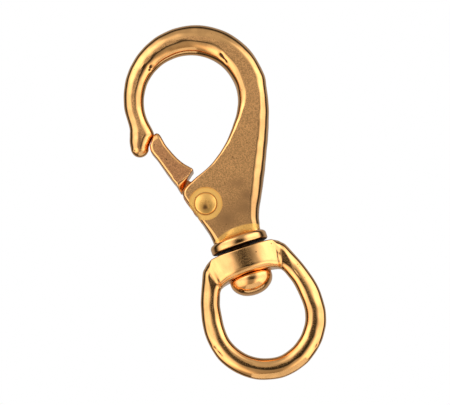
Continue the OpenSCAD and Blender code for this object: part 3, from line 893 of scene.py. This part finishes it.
HOOK_BRONZE = bronze("hook_bronze", POLISHED, SATIN, 0.12, 0.46, hook=True)
GATE_BRONZE = bronze("gate_bronze", POLISHED, (0.54, 0.255, 0.11), 0.18, 0.44, flat_from=0.97)
EYE_BRONZE = bronze("eye_bronze", POLISHED, (0.9, 0.47, 0.17), 0.09, 0.16)
PIN_BRONZE = bronze("pin_bronze", POLISHED, (0.9, 0.48, 0.17), 0.13, 0.2)
RIVET_BRASS = bronze("rivet_brass", (0.98, 0.56, 0.16), (0.95, 0.52, 0.15), 0.36, 0.45)
SPRING_STEEL = spring_steel()


def finish_piece(piece, material, body, node):
    """Gives a piece its material and its place in the frame."""
    piece.data.materials.clear()
    piece.data.materials.append(material)
    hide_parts(node)
    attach(piece, body)


finish_piece(hook(), HOOK_BRONZE, "hook", "hook_body")
finish_piece(rivet(), RIVET_BRASS, "hook", "gate_rivet")
finish_piece(spring(), SPRING_STEEL, "hook", "gate_spring")
finish_piece(swivel_pin(), PIN_BRONZE, "hook", "swivel_pin")
finish_piece(gate(), GATE_BRONZE, "gate", "gate")
finish_piece(eye(), EYE_BRONZE, "eye", "swivel_eye")

# ---------------------------------------------------------------- studio

LENS, SENSOR, PICTURE_WIDTH = 270.0, 36.0, 0.119
LOOK_AT = (-0.00004, 0, -0.04097)
AZIMUTH, ELEVATION, ROLL = -1.1, -7.0, 18.8
FLOOR_DROP, FLOOR_SIDE, FLOOR_GLOW = 0.35, 0.25, 0.25

# Each pair says where a light is nothing and where it is full: in degrees round the camera's up axis
# from the camera, in degrees up from its level plane, or as the share of a direction that points
# towards the camera.
LEFT_PANEL = (-6.0, -40.0), (-108.0, -70.0)
RIGHT_PANEL = (11.0, 50.0), (128.0, 90.0)
PANEL_HEIGHT = (66.0, 36.0), (-66.0, -36.0)
ABOVE, BELOW = (12.0, 25.0), (-3.0, -12.0)
CAMERA_SIDE, FAR_SIDE = (-0.34, 0.02), (-0.42, -0.72)
PANEL_LIGHT, ABOVE_LIGHT, BELOW_LIGHT, FAR_LIGHT, LEAST_LIGHT = 1.5, 0.52, 0.37, 0.4, 0.025


def camera_axes(azimuth, elevation, roll):
    """Unit vectors to the camera's right, up and back, from three angles in degrees."""
    azimuth, elevation, roll = (math.radians(angle) for angle in (azimuth, elevation, roll))
    flat = math.cos(elevation)
    back = np.array([math.sin(azimuth) * flat, -math.cos(azimuth) * flat, math.sin(elevation)])
    level = np.cross([0, 0, 1], back)
    level /= np.linalg.norm(level)
    up = math.cos(roll) * np.cross(back, level) + math.sin(roll) * level
    return np.cross(up, back), up, back


CAMERA_AXES = camera_axes(AZIMUTH, ELEVATION, ROLL)


def studio_floor():
    """A plain pale floor some way under the eye."""
    low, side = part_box("swivel_eye")[0][2] - FLOOR_DROP, FLOOR_SIDE
    corners = [(-side, -side, low), (side, -side, low), (side, side, low), (-side, side, low)]
    mesh = bpy.data.meshes.new("floor")
    mesh.from_pydata(corners, [], [(0, 1, 2, 3)])
    floor = bpy.data.objects.new("floor", mesh)
    bpy.context.scene.collection.objects.link(floor)
    material, _, shader = new_material("floor")
    shader.inputs["Base Color"].default_value = (0.93, 0.93, 0.92, 1)
    shader.inputs["Roughness"].default_value = 0.9
    shader.inputs["Emission Color"].default_value = (1, 0.99, 0.97, 1)
    shader.inputs["Emission Strength"].default_value = FLOOR_GLOW
    mesh.materials.append(material)


def studio_light():
    """A soft white studio: bright panels to the left and right of the picture, softer light above and
    below it, a dark gap where the camera stands, and dim beyond the snap. The camera sees it as plain
    white."""
    world = bpy.data.worlds.new("studio")
    bpy.context.scene.world = world
    world.use_nodes = True
    tree = world.node_tree
    tree.nodes.clear()
    look = add(tree, "ShaderNodeTexCoord").outputs["Generated"]
    shares = [
        add(tree, "ShaderNodeVectorMath", {0: look, 1: tuple(axis)}, operation="DOT_PRODUCT")
        for axis in CAMERA_AXES
    ]
    across, upwards, near = (share.outputs["Value"] for share in shares)
    turn = math_node(tree, "DEGREES", math_node(tree, "ARCTAN2", across, near))
    rise = math_node(tree, "DEGREES", math_node(tree, "ARCSINE", upwards))
    sides = math_node(tree, "ADD", window(tree, turn, *LEFT_PANEL), window(tree, turn, *RIGHT_PANEL))
    panels = math_node(tree, "MULTIPLY", sides, window(tree, rise, *PANEL_HEIGHT))
    panels = math_node(tree, "MULTIPLY", panels, PANEL_LIGHT)
    above = math_node(tree, "MULTIPLY", fade(tree, rise, *ABOVE), ABOVE_LIGHT)
    below = math_node(tree, "MULTIPLY", fade(tree, rise, *BELOW), BELOW_LIGHT)
    level = math_node(tree, "ADD", math_node(tree, "ADD", above, below), panels)
    level = math_node(tree, "MULTIPLY", level, fade(tree, near, *CAMERA_SIDE))
    behind = math_node(tree, "MULTIPLY", fade(tree, near, *FAR_SIDE), FAR_LIGHT)
    level = math_node(tree, "ADD", math_node(tree, "ADD", level, behind), LEAST_LIGHT)
    uneven = add(tree, "ShaderNodeTexNoise", {"Vector": look, "Scale": 3.2, "Detail": 2.0}).outputs["Fac"]
    level = math_node(tree, "MULTIPLY", level, between(tree, uneven, 0.72, 1.28))
    warm = fade(tree, rise, 10.0, -50.0)
    tint = blended(tree, warm, (1.0, 0.985, 0.96, 1), (1.0, 0.88, 0.74, 1))
    seen = add(tree, "ShaderNodeLightPath").outputs["Is Camera Ray"]
    studio = add(tree, "ShaderNodeBackground", {"Color": tint, "Strength": level})
    plain = add(tree, "ShaderNodeBackground", {"Color": (1, 1, 1, 1), "Strength": 1.0})
    mix = add(tree, "ShaderNodeMixShader", {0: seen, 1: studio.outputs[0], 2: plain.outputs[0]})
    output = tree.nodes.new("ShaderNodeOutputWorld")
    tree.links.new(mix.outputs[0], output.inputs[0])
    bpy.context.scene.view_settings.view_transform = "Standard"


def camera():
    """A long lens, a little below and to the left of square on, rolled so that the snap leans left."""
    distance = PICTURE_WIDTH * LENS / SENSOR
    matrix = Matrix(np.column_stack(CAMERA_AXES).tolist()).to_4x4()
    matrix.translation = (np.array(LOOK_AT) + CAMERA_AXES[2] * distance).tolist()
    data = bpy.data.cameras.new("camera")
    data.lens, data.sensor_width = LENS, SENSOR
    data.clip_start, data.clip_end = 0.01, 20.0
    shot = bpy.data.objects.new("camera", data)
    shot.matrix_world = matrix
    bpy.context.scene.collection.objects.link(shot)
    bpy.context.scene.camera = shot


studio_floor()
studio_light()
camera()
